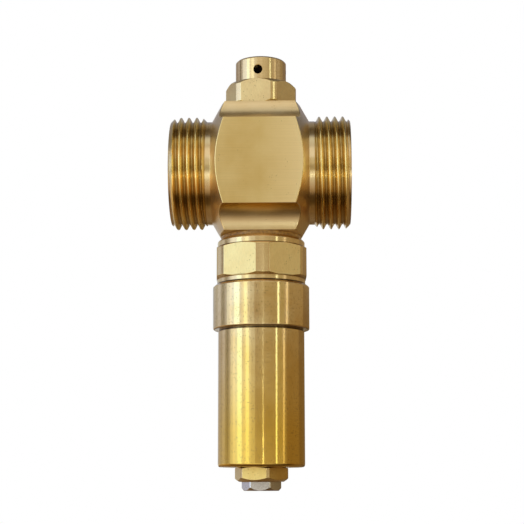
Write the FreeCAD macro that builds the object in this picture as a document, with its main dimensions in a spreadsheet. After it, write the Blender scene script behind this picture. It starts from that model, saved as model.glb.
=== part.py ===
import FreeCAD, Part
import os
import re

import Sketcher

Vector = FreeCAD.Vector
Rotation = FreeCAD.Rotation
Placement = FreeCAD.Placement

os.makedirs("parts", exist_ok=True)
doc = FreeCAD.newDocument("freeze_protection_valve")

# Sizes in millimetres and degrees. The row origin is where the port axis (X) meets the valve axis (Z).
SIZES = [
    # block and ports
    ("port_span", 52.5),
    ("port_radius", 16.62),
    ("port_root", 15.25),
    ("port_thread_start", 16.4),
    ("port_bore", 12.5),
    ("bore_chamfer", 0.6),
    ("chamber_radius", 13.0),
    ("chamber_half", 12.7),
    ("block_height", 38.0),
    ("block_depth", 36.0),
    ("cove_radius", 6.5),
    ("cone_start", 14.2),
    ("cone_angle", 30.0),
    # shared fits and small edges
    ("screw_gap", 0.1),
    ("slide_gap", 0.08),
    ("cut_over", 1.0),
    ("edge_break", 0.3),
    ("thread_lead", 0.5),
    # vent cap with its hexagon, on top of the block
    ("vent_flats", 19.0),
    ("vent_corner", 10.47),
    ("vent_chamfer", 1.0),
    ("vent_shoulder", 6.45),
    ("vent_stem", 8.2),
    ("vent_neck", 7.5),
    ("vent_setback", 0.4),
    ("cap_radius", 7.5),
    ("cap_top", 14.9),
    ("cap_chamfer", 0.5),
    ("cap_wall", 2.5),
    ("cap_roof", 1.7),
    ("air_hole", 1.3),
    ("air_hole_level", 10.85),
    ("air_hole_turn", -5.4),
    ("vent_hex_turn", -2.5),
    ("vent_recess", 9.2),
    ("vent_recess_depth", 1.2),
    ("vent_bore", 6.2),
    ("vent_seat_level", 3.6),
    ("vent_seat_hole", 3.0),
    ("vent_seat_wall", 2.9),
    ("vent_lip_width", 0.8),
    ("vent_lip_height", 0.4),
    ("vent_ring_radius", 0.6),
    # vent poppet and its retainer
    ("plug_stem", 1.5),
    ("bead_radius", 2.2),
    ("bead_height", 1.6),
    ("vent_disc_radius", 5.2),
    ("vent_disc_thick", 1.6),
    ("vent_seal_radius", 4.8),
    ("vent_seal_thick", 1.4),
    ("retainer_radius", 6.5),
    ("retainer_thick", 1.0),
    ("retainer_edge", 0.2),
    ("retainer_hole", 0.9),
    ("retainer_circle", 5.0),
    # cartridge with the large hexagon, under the block
    ("gasket_thick", 1.2),
    ("gasket_radius", 11.75),
    ("gasket_gap", 0.2),
    ("drain_thread", 10.48),
    ("drain_lead", 0.6),
    ("drain_setback", 0.8),
    ("ring_radius", 12.75),
    ("ring_thick", 2.3),
    ("ring_chamfer", 0.8),
    ("hex_flats", 26.0),
    ("hex_corner", 14.0),
    ("hex_chamfer", 0.65),
    ("hex_height", 9.6),
    ("hex_turn", 33.2),
    ("lower_neck", 12.85),
    ("lower_neck_height", 1.2),
    ("lower_thread", 11.4),
    ("lower_thread_length", 10.2),
    ("drain_bore", 8.2),
    ("drain_bore_depth", 3.8),
    ("drain_cone", 2.0),
    ("seat_hole", 6.0),
    ("seat_lip", 0.5),
    ("seat_bevel", 0.8),
    ("seat_rim", 7.0),
    ("seat_depth", 15.8),
    ("spring_bore", 9.9),
    ("spring_roof", 7.1),
    # collar and sleeve
    ("collar_radius", 14.0),
    ("collar_height", 13.3),
    ("collar_bevel", 1.1),
    ("collar_bevel_drop", 0.9),
    ("collar_round", 0.4),
    ("undercut_depth", 0.3),
    ("undercut_width", 0.6),
    ("sleeve_radius", 12.5),
    ("sleeve_length", 38.8),
    ("sleeve_round", 0.5),
    ("sleeve_bore", 10.5),
    ("end_wall", 2.9),
    ("seal_recess", 12.7),
    ("seal_recess_depth", 1.2),
    ("sleeve_ring_radius", 0.55),
    ("drain_hole", 1.2),
    ("drain_hole_circle", 9.2),
    # guide plate
    ("plate_thick", 2.0),
    ("hub_radius", 6.4),
    ("hub_length", 7.5),
    ("window_radius", 1.5),
    ("window_circle", 8.4),
    # shutter
    ("shutter_radius", 9.6),
    ("shutter_thick", 2.0),
    ("shutter_seal_radius", 7.9),
    ("shutter_seal_thick", 1.6),
    ("shutter_boss", 4.2),
    ("shutter_boss_length", 3.4),
    ("boss_taper", 0.2),
    ("socket_roof", 1.0),
    ("notch_radius", 1.6),
    ("notch_circle", 10.3),
    ("stud_radius", 1.5),
    ("stud_length", 4.2),
    ("nut_flats", 5.5),
    ("nut_height", 2.2),
    # thermostat
    ("piston_radius", 1.5),
    ("piston_length", 21.9),
    ("piston_point", 0.5),
    ("guide_neck", 5.1),
    ("guide_neck_length", 6.2),
    ("neck_chamfer", 0.5),
    ("guide_flange", 8.3),
    ("guide_flange_thick", 2.4),
    ("stop_gap", 0.2),
    ("cup_flange", 9.0),
    ("cup_flange_depth", 3.6),
    ("cup_radius", 7.6),
    ("cup_wall", 0.8),
    ("cup_length", 19.8),
    ("cup_floor", 0.9),
    ("cup_fillet", 0.6),
    ("crimp_width", 0.9),
    ("crimp_height", 0.5),
    ("boot_disc", 1.5),
    ("boot_radius", 2.8),
    ("boot_length", 14.3),
    ("boot_end", 1.4),
    # springs
    ("vent_coil", 3.6),
    ("vent_wire", 0.25),
    ("return_coil", 9.0),
    ("return_wire", 0.4),
    ("lower_coil", 8.55),
    ("lower_wire", 0.75),
    # lower spring plate, bush and screw
    ("spring_plate_radius", 9.9),
    ("spring_plate_thick", 1.6),
    ("spring_plate_level", 2.4),
    ("plate_hole", 1.3),
    ("plate_hole_circle", 5.2),
    ("bush_flats", 14.0),
    ("bush_corner", 7.85),
    ("bush_chamfer", 1.5),
    ("bush_chamfer_height", 0.95),
    ("bush_height", 4.1),
    ("bush_shank", 5.0),
    ("bush_rise", 1.0),
    ("bush_turn", -15.2),
    ("screw_flats", 10.0),
    ("screw_corner", 5.65),
    ("screw_chamfer", 0.7),
    ("screw_chamfer_height", 0.8),
    ("screw_head", 2.55),
    ("screw_shank", 3.0),
    ("screw_lead", 0.4),
    ("screw_turn", -3.4),
]

# Levels and lengths that follow from the sizes above.
DERIVED = [
    ("port_half", "port_span / 2"),
    ("vent_level", "block_height / 2"),
    ("vent_stem_length", "vent_level - chamber_radius - vent_setback"),
    ("retainer_level", "retainer_thick + retainer_edge - vent_stem_length"),
    ("plug_level", "vent_seat_level - vent_seal_thick"),
    ("plug_tip", "chamber_radius - edge_break - vent_level - plug_level"),
    ("ring_level", "-block_height / 2 - gasket_thick"),
    ("drain_top", "-chamber_radius - drain_setback - ring_level"),
    ("hex_bottom", "-ring_thick - hex_height"),
    ("collar_drop", "hex_bottom - lower_neck_height"),
    ("collar_level", "ring_level + collar_drop"),
    ("plate_level", "collar_level - lower_thread_length"),
    ("sleeve_bottom", "-collar_height - undercut_width - sleeve_length"),
    ("end_level", "collar_level + sleeve_bottom"),
    ("seal_level", "ring_level - seat_depth"),
    ("shutter_level", "seal_level - shutter_seal_thick"),
    ("piston_top", "shutter_level - shutter_thick - socket_roof"),
    ("guide_level", "plate_level - plate_thick - hub_length - stop_gap"),
    ("spring_level", "end_level + end_wall + spring_plate_level + spring_plate_thick"),
    ("bush_level", "end_level - bush_height"),
]

sheet = doc.addObject("Spreadsheet::Sheet", "Sizes")
for row, (alias, value) in enumerate(SIZES + DERIVED, start=1):
    content = str(value) if isinstance(value, float) else "=" + value
    sheet.set("A%d" % row, alias)
    sheet.set("B%d" % row, content)
    sheet.setAlias("B%d" % row, alias)
doc.recompute()


def bound(text):
    """An expression in which each alias is read from the sheet."""
    return re.sub(r"[a-z]+(?:_[a-z]+)+", r"Sizes.\g<0>", text)


def number(text):
    """The present value of an expression."""
    return float(sheet.evalExpression(bound(text)))


def sub_part(label, level="0", turn="0"):
    """A body at its own level on the valve axis, turned about it."""
    body = doc.addObject("PartDesign::Body", label)
    body.Label = label
    body.Placement = Placement(Vector(0, 0, number(level)), Rotation(Vector(0, 0, 1), number(turn)))
    body.setExpression("Placement.Base.z", bound(level))
    if turn != "0":
        body.setExpression("Placement.Rotation.Angle", bound(turn))
    return body


def plane_sketch(body, plane, level="0", turn="0"):
    """An empty sketch on one of the body's own planes, raised along its normal and turned in it."""
    sketch = body.newObject("Sketcher::SketchObject", "Profile")
    support = [f for f in body.Origin.OriginFeatures if f.Role == plane][0]
    sketch.AttachmentSupport = [(support, "")]
    sketch.MapMode = "FlatFace"
    offset = Placement(Vector(0, 0, number(level)), Rotation(Vector(0, 0, 1), number(turn)))
    sketch.AttachmentOffset = offset
    if level != "0":
        sketch.setExpression("AttachmentOffset.Base.z", bound(level))
    if turn != "0":
        sketch.setExpression("AttachmentOffset.Rotation.Angle", bound(turn))
    return sketch


def pin_point(sketch, geometry, vertex, x, y):
    """Hold one point of a sketch at x, y, both given as expressions."""
    for kind, text, axis in (("DistanceX", x, -2), ("DistanceY", y, -1)):
        if text == "0":
            sketch.addConstraint(Sketcher.Constraint("PointOnObject", geometry, vertex, axis))
            continue
        constraint = Sketcher.Constraint(kind, -1, 1, geometry, vertex, number(text))
        index = sketch.addConstraint(constraint)
        sketch.setExpression("Constraints[%d]" % index, bound(text))


def add_outline(sketch, points):
    """A closed outline through points, each a pair of expressions."""
    corners = [Vector(number(x), number(y), 0) for x, y in points]
    first = sketch.GeometryCount
    count = len(points)
    for i in range(count):
        sketch.addGeometry(Part.LineSegment(corners[i], corners[(i + 1) % count]))
    for i in range(count):
        join = Sketcher.Constraint("Coincident", first + i, 2, first + (i + 1) % count, 1)
        sketch.addConstraint(join)
    for i, (x, y) in enumerate(points):
        pin_point(sketch, first + i, 1, x, y)


def add_circle(sketch, x, y, radius):
    """A circle in a sketch, its centre and radius given as expressions."""
    centre = Vector(number(x), number(y), 0)
    circle = Part.Circle(centre, Vector(0, 0, 1), number(radius))
    index = sketch.addGeometry(circle)
    pin_point(sketch, index, 3, x, y)
    size = sketch.addConstraint(Sketcher.Constraint("Radius", index, number(radius)))
    sketch.setExpression("Constraints[%d]" % size, bound(radius))


def spin(body, kind, points, axis="V_Axis"):
    """Turn an outline about the valve axis, or about the port axis with H_Axis."""
    sketch = plane_sketch(body, "XZ_Plane")
    add_outline(sketch, points)
    feature = body.newObject("PartDesign::" + kind, kind)
    feature.Profile = sketch
    feature.ReferenceAxis = (sketch, [axis])
    feature.Angle = 360
    sketch.Visibility = False
    body.Tip = feature
    doc.recompute()
    return feature


def pocket(body, sketch, length=None, reverse=False):
    """Cut a sketch away, through everything on both sides where no length is given."""
    feature = body.newObject("PartDesign::Pocket", "Pocket")
    feature.Profile = sketch
    if length is None:
        feature.Type = "ThroughAll"
        feature.SideType = "Symmetric"
    else:
        feature.Length = number(length)
        feature.setExpression("Length", bound(length))
        feature.Reversed = reverse
    sketch.Visibility = False
    body.Tip = feature
    doc.recompute()
    return feature


def ring_of(body, feature, count):
    """Repeat a cut around the valve axis."""
    pattern = body.newObject("PartDesign::PolarPattern", "Pattern")
    pattern.Originals = [feature]
    pattern.Axis = ([f for f in body.Origin.OriginFeatures if f.Role == "Z_Axis"][0], [""])
    pattern.Angle = 360
    pattern.Occurrences = count
    body.Tip = pattern
    doc.recompute()


def mill_hexagon(body, flats, bottom, height, turn="0"):
    """Mill six flats on a turned blank, one flat facing the front before the turn."""
    sketch = plane_sketch(body, "XY_Plane", bottom, turn)
    add_circle(sketch, "0", "0", flats)
    corner = "%s / sqrt(3)" % flats
    half_side = "%s / sqrt(12)" % flats
    apothem = "%s / 2" % flats
    points = [
        (half_side, "-" + apothem),
        (corner, "0"),
        (half_side, apothem),
        ("-" + half_side, apothem),
        ("-" + corner, "0"),
        ("-" + half_side, "-" + apothem),
    ]
    add_outline(sketch, points)
    pocket(body, sketch, height, True)


def drill_ring(body, hole, circle, level, count):
    """A ring of round holes along the valve axis, cut both ways from a level."""
    sketch = plane_sketch(body, "XY_Plane", level)
    add_circle(sketch, "0", "-" + circle, hole)
    ring_of(body, pocket(body, sketch), count)


def round_edge(body, radius, edge_radius, level):
    """Round the circular edge of one radius at one level of a body."""
    base = body.Tip
    names = []
    for index, edge in enumerate(base.Shape.Edges, start=1):
        if not isinstance(edge.Curve, Part.Circle):
            continue
        at_level = abs(edge.Curve.Center.z - number(level)) < 1e-4
        if at_level and abs(edge.Curve.Radius - number(edge_radius)) < 1e-4:
            names.append("Edge%d" % index)
    fillet = body.newObject("PartDesign::Fillet", "Fillet")
    fillet.Base = (base, names)
    fillet.Radius = number(radius)
    fillet.setExpression("Radius", bound(radius))
    body.Tip = fillet
    doc.recompute()


def o_ring(label, major, minor, level):
    """A round-section ring about the valve axis."""
    ring = doc.addObject("Part::Torus", label)
    ring.Label = label
    ring.setExpression("Radius1", bound(major))
    ring.setExpression("Radius2", bound(minor))
    ring.setExpression("Placement.Base.z", bound(level))
    return ring


def coil_spring(label, coil, wire, turns, bottom, length):
    """A round-wire spring that stands on a level and is as long as its seats are apart."""
    body = sub_part(label, bottom)
    sketch = plane_sketch(body, "XZ_Plane")
    add_circle(sketch, coil, wire, wire)
    helix = body.newObject("PartDesign::AdditiveHelix", "Coil")
    helix.Profile = sketch
    helix.ReferenceAxis = (sketch, ["V_Axis"])
    helix.Mode = "height-turns-angle"
    helix.Turns = turns
    helix.Height = number("%s - 2 * %s" % (length, wire))
    helix.setExpression("Height", bound("%s - 2 * %s" % (length, wire)))
    sketch.Visibility = False
    body.Tip = helix
    doc.recompute()
    return body


def mirrored(points):
    """An outline that starts and ends on the axis, completed on the other side of X = 0."""
    return points + [("-(%s)" % x, y) for x, y in reversed(points)]


parts = []

# One-piece body: a bar with a round cove along each edge, turned to a cone at both ends.
block = sub_part("valve_body")
section = plane_sketch(block, "YZ_Plane")
bar = [
    ("-block_depth / 2", "-block_height / 2"),
    ("block_depth / 2", "-block_height / 2"),
    ("block_depth / 2", "block_height / 2"),
    ("-block_depth / 2", "block_height / 2"),
]
add_outline(section, bar)
pad = block.newObject("PartDesign::Pad", "Bar")
pad.Profile = section
pad.SideType = "Symmetric"
pad.Length = number("cone_start * 2")
pad.setExpression("Length", bound("cone_start * 2"))
doc.recompute()
coves = plane_sketch(block, "YZ_Plane")
for side, level in bar:
    add_circle(coves, side, level, "cove_radius")
pocket(block, coves)

# Everything outside the cones is turned away, then the ports are added and bored.
rim = "(block_height + block_depth) / 2"
cone_run = "cone_start - (%s - port_root) * tan(cone_angle)" % rim
for sign in ("", "-"):
    waste = [
        ("cone_start", "port_root"),
        ("cone_start + cut_over", "port_root"),
        ("cone_start + cut_over", rim),
        (cone_run, rim),
    ]
    spin(block, "Groove", [("%s(%s)" % (sign, x), y) for x, y in waste], "H_Axis")
port_lead = "(port_radius - port_root)"
spin(
    block,
    "Revolution",
    mirrored(
        [
            ("port_half", "0"),
            ("port_half", "port_root"),
            ("port_half - %s" % port_lead, "port_radius"),
            ("port_thread_start + %s" % port_lead, "port_radius"),
            ("port_thread_start", "port_root"),
        ]
    ),
    "H_Axis",
)
spin(
    block,
    "Groove",
    mirrored(
        [
            ("port_half", "0"),
            ("port_half", "port_bore + bore_chamfer"),
            ("port_half - bore_chamfer", "port_bore"),
            ("chamber_half + chamber_radius - port_bore", "port_bore"),
            ("chamber_half", "chamber_radius"),
        ]
    ),
    "H_Axis",
)
spin(
    block,
    "Groove",
    [
        ("0", "0"),
        ("vent_stem + screw_gap", "0"),
        ("vent_stem + screw_gap", "vent_level - vent_recess_depth"),
        ("vent_recess", "vent_level - vent_recess_depth"),
        ("vent_recess", "vent_level + cut_over"),
        ("0", "vent_level + cut_over"),
    ],
)
spin(
    block,
    "Groove",
    [
        ("0", "-vent_level - cut_over"),
        ("drain_thread + screw_gap", "-vent_level - cut_over"),
        ("drain_thread + screw_gap", "0"),
        ("0", "0"),
    ],
)
parts.append(block)

# Vent cap: stem, hexagon and round cap turned in one piece, with four air holes.
cap = sub_part("vent_cap", "vent_level", "air_hole_turn")
spin(
    cap,
    "Revolution",
    [
        ("0", "-vent_stem_length"),
        ("vent_stem - thread_lead", "-vent_stem_length"),
        ("vent_stem", "thread_lead - vent_stem_length"),
        ("vent_stem", "-vent_recess_depth - edge_break"),
        ("vent_neck", "-vent_recess_depth"),
        ("vent_neck", "0"),
        ("vent_corner - vent_chamfer", "0"),
        ("vent_corner", "vent_chamfer"),
        ("vent_corner", "vent_shoulder"),
        ("vent_corner - vent_chamfer", "vent_shoulder + vent_chamfer"),
        ("cap_radius", "vent_shoulder + vent_chamfer"),
        ("cap_radius", "cap_top - cap_chamfer"),
        ("cap_radius - cap_chamfer", "cap_top"),
        ("0", "cap_top"),
    ],
)
mill_hexagon(cap, "vent_flats", "0", "cap_top", "vent_hex_turn")
spin(
    cap,
    "Groove",
    [
        ("0", "-vent_stem_length - cut_over"),
        ("retainer_radius + screw_gap", "-vent_stem_length - cut_over"),
        ("retainer_radius + screw_gap", "retainer_level"),
        ("vent_bore", "retainer_level"),
        ("vent_bore", "vent_seat_level + vent_lip_height"),
        ("vent_seat_hole + vent_lip_width", "vent_seat_level + vent_lip_height"),
        ("vent_seat_hole + vent_lip_width", "vent_seat_level"),
        ("vent_seat_hole", "vent_seat_level"),
        ("vent_seat_hole", "vent_seat_level + vent_seat_wall"),
        ("cap_radius - cap_wall", "vent_seat_level + vent_seat_wall"),
        ("cap_radius - cap_wall", "cap_top - cap_roof"),
        ("0", "cap_top - cap_roof"),
    ],
)
air = plane_sketch(cap, "XZ_Plane")
add_circle(air, "0", "air_hole_level", "air_hole")
ring_of(cap, pocket(cap, air, "cap_radius + cut_over", True), 4)
parts.append(cap)

seal_level = "vent_level - vent_recess_depth / 2"
parts.append(o_ring("vent_oring", "(vent_neck + vent_recess) / 2", "vent_ring_radius", seal_level))

# Vent poppet: disc, guide stem and the bead that holds its soft washer.
plug = sub_part("vent_plug", "vent_level + plug_level")
spin(
    plug,
    "Revolution",
    [
        ("0", "plug_tip"),
        ("plug_stem - edge_break", "plug_tip"),
        ("plug_stem", "plug_tip + edge_break"),
        ("plug_stem", "-vent_disc_thick"),
        ("vent_disc_radius", "-vent_disc_thick"),
        ("vent_disc_radius", "0"),
        ("plug_stem - screw_gap", "0"),
        ("plug_stem - screw_gap", "vent_seal_thick"),
        ("bead_radius", "vent_seal_thick + screw_gap"),
        ("bead_radius", "vent_seal_thick + bead_height / 2"),
        ("plug_stem", "vent_seal_thick + bead_height"),
        ("0", "vent_seal_thick + bead_height"),
    ],
)
parts.append(plug)

washer = sub_part("vent_seal", "vent_level + plug_level")
spin(
    washer,
    "Revolution",
    [
        ("plug_stem", "0"),
        ("vent_seal_radius", "0"),
        ("vent_seal_radius", "vent_seal_thick"),
        ("plug_stem", "vent_seal_thick"),
    ],
)
parts.append(washer)

retainer = sub_part("vent_retainer", "vent_level + retainer_level")
spin(
    retainer,
    "Revolution",
    [
        ("plug_stem + slide_gap", "-retainer_thick"),
        ("retainer_radius", "-retainer_thick"),
        ("retainer_radius", "0"),
        ("plug_stem + slide_gap", "0"),
    ],
)
drill_ring(retainer, "retainer_hole", "retainer_circle", "-retainer_thick / 2", 6)
parts.append(retainer)

vent_spring_length = "(plug_level - vent_disc_thick - retainer_level)"
parts.append(
    coil_spring(
        "vent_spring",
        "vent_coil",
        "vent_wire",
        4,
        "vent_level + retainer_level",
        vent_spring_length,
    )
)

# Drain cartridge: upper thread, ring, large hexagon, lower thread and the drain seat.
cartridge = sub_part("drain_cartridge", "ring_level", "hex_turn")
spin(
    cartridge,
    "Revolution",
    [
        ("0", "drain_top"),
        ("drain_thread - drain_lead", "drain_top"),
        ("drain_thread", "drain_top - drain_lead"),
        ("drain_thread", "gasket_thick + drain_lead"),
        ("drain_thread - drain_lead", "gasket_thick"),
        ("drain_thread - drain_lead", "0"),
        ("ring_radius - ring_chamfer", "0"),
        ("ring_radius", "-ring_chamfer"),
        ("ring_radius", "-ring_thick"),
        ("hex_corner", "-ring_thick - hex_chamfer"),
        ("hex_corner", "hex_bottom + hex_chamfer"),
        ("lower_neck", "hex_bottom"),
        ("lower_neck", "collar_drop"),
        ("lower_thread", "collar_drop"),
        ("lower_thread", "collar_drop - lower_thread_length + thread_lead"),
        ("lower_thread - thread_lead", "collar_drop - lower_thread_length"),
        ("0", "collar_drop - lower_thread_length"),
    ],
)
mill_hexagon(cartridge, "hex_flats", "hex_bottom", "hex_height")
spin(
    cartridge,
    "Groove",
    [
        ("0", "drain_top + cut_over"),
        ("drain_bore", "drain_top + cut_over"),
        ("drain_bore", "-drain_bore_depth"),
        ("seat_hole", "-drain_bore_depth - drain_cone"),
        ("seat_hole", "-seat_depth - cut_over"),
        ("0", "-seat_depth - cut_over"),
    ],
)
spin(
    cartridge,
    "Groove",
    [
        ("seat_rim", "-spring_roof"),
        ("spring_bore", "-spring_roof"),
        ("spring_bore", "collar_drop - lower_thread_length - cut_over"),
        ("0", "collar_drop - lower_thread_length - cut_over"),
        ("0", "-seat_depth"),
        ("seat_hole + seat_lip", "-seat_depth"),
        ("seat_rim", "seat_bevel - seat_depth"),
    ],
)
parts.append(cartridge)

gasket = sub_part("cartridge_gasket", "ring_level")
spin(
    gasket,
    "Revolution",
    [
        ("drain_thread + gasket_gap", "0"),
        ("gasket_radius", "0"),
        ("gasket_radius", "gasket_thick - edge_break"),
        ("gasket_radius - edge_break", "gasket_thick"),
        ("drain_thread + gasket_gap", "gasket_thick"),
    ],
)
parts.append(gasket)

# Drain sleeve: collar and long sleeve turned in one piece, with a drilled end wall.
sleeve = sub_part("drain_sleeve", "collar_level")
spin(
    sleeve,
    "Revolution",
    [
        ("0", "0"),
        ("collar_radius - collar_bevel", "0"),
        ("collar_radius", "-collar_bevel_drop"),
        ("collar_radius", "-collar_height"),
        ("sleeve_radius - undercut_depth", "-collar_height"),
        ("sleeve_radius - undercut_depth", "-collar_height - undercut_width"),
        ("sleeve_radius", "-collar_height - undercut_width"),
        ("sleeve_radius", "sleeve_bottom"),
        ("0", "sleeve_bottom"),
    ],
)
round_edge(sleeve, "collar_round", "collar_radius", "-collar_height")
round_edge(sleeve, "sleeve_round", "sleeve_radius", "sleeve_bottom")
spin(
    sleeve,
    "Groove",
    [
        ("0", "cut_over"),
        ("seal_recess", "cut_over"),
        ("seal_recess", "-seal_recess_depth"),
        ("lower_thread + screw_gap", "-seal_recess_depth"),
        ("lower_thread + screw_gap", "-lower_thread_length - plate_thick"),
        ("sleeve_bore", "-lower_thread_length - plate_thick"),
        ("sleeve_bore", "sleeve_bottom + end_wall"),
        ("bush_shank + screw_gap", "sleeve_bottom + end_wall"),
        ("bush_shank + screw_gap", "sleeve_bottom - cut_over"),
        ("0", "sleeve_bottom - cut_over"),
    ],
)
wall = plane_sketch(sleeve, "XY_Plane", "sleeve_bottom")
add_circle(wall, "0", "-drain_hole_circle", "drain_hole")
ring_of(sleeve, pocket(sleeve, wall, "end_wall + cut_over", True), 8)
parts.append(sleeve)
seal_centre = "collar_level - seal_recess_depth / 2"
seal_major = "lower_thread + screw_gap + sleeve_ring_radius"
parts.append(o_ring("sleeve_oring", seal_major, "sleeve_ring_radius", seal_centre))

# Guide plate: clamped between cartridge and sleeve, its hub guides the thermostat's neck.
plate = sub_part("guide_plate", "plate_level")
spin(
    plate,
    "Revolution",
    [
        ("guide_neck + slide_gap", "0"),
        ("lower_thread", "0"),
        ("lower_thread", "-plate_thick"),
        ("hub_radius", "-plate_thick"),
        ("hub_radius", "-plate_thick - hub_length"),
        ("guide_neck + slide_gap", "-plate_thick - hub_length"),
    ],
)
drill_ring(plate, "window_radius", "window_circle", "-plate_thick / 2", 8)
parts.append(plate)

# Shutter: notched disc with a stud above and a socket for the piston below.
shutter = sub_part("shutter", "shutter_level")
spin(
    shutter,
    "Revolution",
    [
        ("0", "stud_length"),
        ("stud_radius - edge_break", "stud_length"),
        ("stud_radius", "stud_length - edge_break"),
        ("stud_radius", "0"),
        ("shutter_radius", "0"),
        ("shutter_radius", "-shutter_thick"),
        ("shutter_boss", "-shutter_thick"),
        ("shutter_boss - boss_taper", "-shutter_thick - shutter_boss_length"),
        ("piston_radius + slide_gap", "-shutter_thick - shutter_boss_length"),
        ("piston_radius + slide_gap", "-shutter_thick - socket_roof"),
        ("0", "-shutter_thick - socket_roof"),
    ],
)
drill_ring(shutter, "notch_radius", "notch_circle", "-shutter_thick / 2", 6)
parts.append(shutter)

disc = sub_part("shutter_seal", "shutter_level")
spin(
    disc,
    "Revolution",
    [
        ("stud_radius + screw_gap", "0"),
        ("shutter_seal_radius", "0"),
        ("shutter_seal_radius", "shutter_seal_thick"),
        ("stud_radius + screw_gap", "shutter_seal_thick"),
    ],
)
parts.append(disc)

nut = sub_part("shutter_nut", "seal_level")
spin(
    nut,
    "Revolution",
    [
        ("stud_radius + screw_gap", "0"),
        ("nut_flats / sqrt(3)", "0"),
        ("nut_flats / sqrt(3)", "nut_height - edge_break"),
        ("nut_flats / sqrt(3) - edge_break", "nut_height"),
        ("stud_radius + screw_gap", "nut_height"),
    ],
)
mill_hexagon(nut, "nut_flats", "0", "nut_height")
parts.append(nut)

return_top = "ring_level - spring_roof"
return_length = "(%s - shutter_level)" % return_top
parts.append(
    coil_spring("return_spring", "return_coil", "return_wire", 5, "shutter_level", return_length)
)

# Thermostat: piston, head, cup crimped round the head, rubber boot and wax charge.
piston = sub_part("thermostat_piston", "piston_top")
spin(
    piston,
    "Revolution",
    [
        ("0", "0"),
        ("piston_radius - edge_break", "0"),
        ("piston_radius", "-edge_break"),
        ("piston_radius", "piston_point - piston_length"),
        ("piston_radius - piston_point", "-piston_length"),
        ("0", "-piston_length"),
    ],
)
parts.append(piston)

head = sub_part("thermostat_guide", "guide_level")
spin(
    head,
    "Revolution",
    [
        ("piston_radius + slide_gap", "guide_neck_length"),
        ("guide_neck - neck_chamfer", "guide_neck_length"),
        ("guide_neck", "guide_neck_length - neck_chamfer"),
        ("guide_neck", "0"),
        ("guide_flange", "0"),
        ("guide_flange", "-guide_flange_thick"),
        ("piston_radius + slide_gap", "-guide_flange_thick"),
    ],
)
parts.append(head)

cup = sub_part("thermostat_cup", "guide_level")
cup_inside = "cup_radius - cup_wall"
spin(
    cup,
    "Revolution",
    [
        ("guide_flange - crimp_width", "0"),
        ("guide_flange - crimp_width", "crimp_height"),
        ("cup_flange - edge_break", "crimp_height"),
        ("cup_flange", "crimp_height - edge_break"),
        ("cup_flange", "-cup_flange_depth"),
        ("cup_radius", "-cup_flange_depth"),
        ("cup_radius", "cup_wall - cup_length"),
        (cup_inside, "-cup_length"),
        ("0", "-cup_length"),
        ("0", "cup_floor - cup_length"),
        (cup_inside + " - cup_fillet", "cup_floor - cup_length"),
        (cup_inside, "cup_floor + cup_fillet - cup_length"),
        (cup_inside, "-guide_flange_thick"),
        ("guide_flange + screw_gap", "-guide_flange_thick"),
        ("guide_flange + screw_gap", "0"),
    ],
)
parts.append(cup)

boot = sub_part("thermostat_boot", "guide_level - guide_flange_thick")
fill_radius = cup_inside + " - screw_gap"
spin(
    boot,
    "Revolution",
    [
        ("piston_radius + screw_gap", "0"),
        (fill_radius, "0"),
        (fill_radius, "-boot_disc"),
        ("boot_radius", "-boot_disc"),
        ("boot_radius", "guide_flange_thick - boot_length"),
        ("0", "guide_flange_thick - boot_length"),
        ("0", "guide_flange_thick - boot_length + boot_end"),
        ("piston_radius + screw_gap", "guide_flange_thick - boot_length + boot_end"),
    ],
)
parts.append(boot)

wax = sub_part("wax_charge", "guide_level")
wax_bottom = "cup_floor + screw_gap - cup_length"
spin(
    wax,
    "Revolution",
    [
        ("boot_radius + screw_gap", "-guide_flange_thick - boot_disc"),
        (fill_radius, "-guide_flange_thick - boot_disc"),
        (fill_radius, wax_bottom + " + cup_fillet"),
        (fill_radius + " - cup_fillet", wax_bottom),
        ("0", wax_bottom),
        ("0", "-boot_length - screw_gap"),
        ("boot_radius + screw_gap", "-boot_length - screw_gap"),
    ],
)
parts.append(wax)

lower_length = "(guide_level - cup_flange_depth - spring_level)"
parts.append(
    coil_spring("overtravel_spring", "lower_coil", "lower_wire", 6, "spring_level", lower_length)
)

# Lower spring plate on the tip of the end screw.
seat_plate = sub_part("spring_plate", "spring_level")
spin(
    seat_plate,
    "Revolution",
    [
        ("0", "0"),
        ("spring_plate_radius", "0"),
        ("spring_plate_radius", "-spring_plate_thick"),
        ("0", "-spring_plate_thick"),
    ],
)
drill_ring(seat_plate, "plate_hole", "plate_hole_circle", "-spring_plate_thick / 2", 6)
parts.append(seat_plate)

bush = sub_part("end_bush", "end_level", "bush_turn")
spin(
    bush,
    "Revolution",
    [
        ("screw_shank + screw_gap", "end_wall + bush_rise"),
        ("bush_shank - thread_lead", "end_wall + bush_rise"),
        ("bush_shank", "end_wall + bush_rise - thread_lead"),
        ("bush_shank", "0"),
        ("bush_corner", "0"),
        ("bush_corner", "bush_chamfer_height - bush_height"),
        ("bush_corner - bush_chamfer", "-bush_height"),
        ("screw_shank + screw_gap", "-bush_height"),
    ],
)
mill_hexagon(bush, "bush_flats", "-bush_height", "bush_height")
parts.append(bush)

screw = sub_part("end_screw", "bush_level", "screw_turn")
screw_tip = "end_wall + spring_plate_level + bush_height"
spin(
    screw,
    "Revolution",
    [
        ("0", screw_tip),
        ("screw_shank - screw_lead", screw_tip),
        ("screw_shank", screw_tip + " - screw_lead"),
        ("screw_shank", "0"),
        ("screw_corner", "0"),
        ("screw_corner", "screw_chamfer_height - screw_head"),
        ("screw_corner - screw_chamfer", "-screw_head"),
        ("0", "-screw_head"),
    ],
)
mill_hexagon(screw, "screw_flats", "-screw_head", "screw_head")
parts.append(screw)

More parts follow.
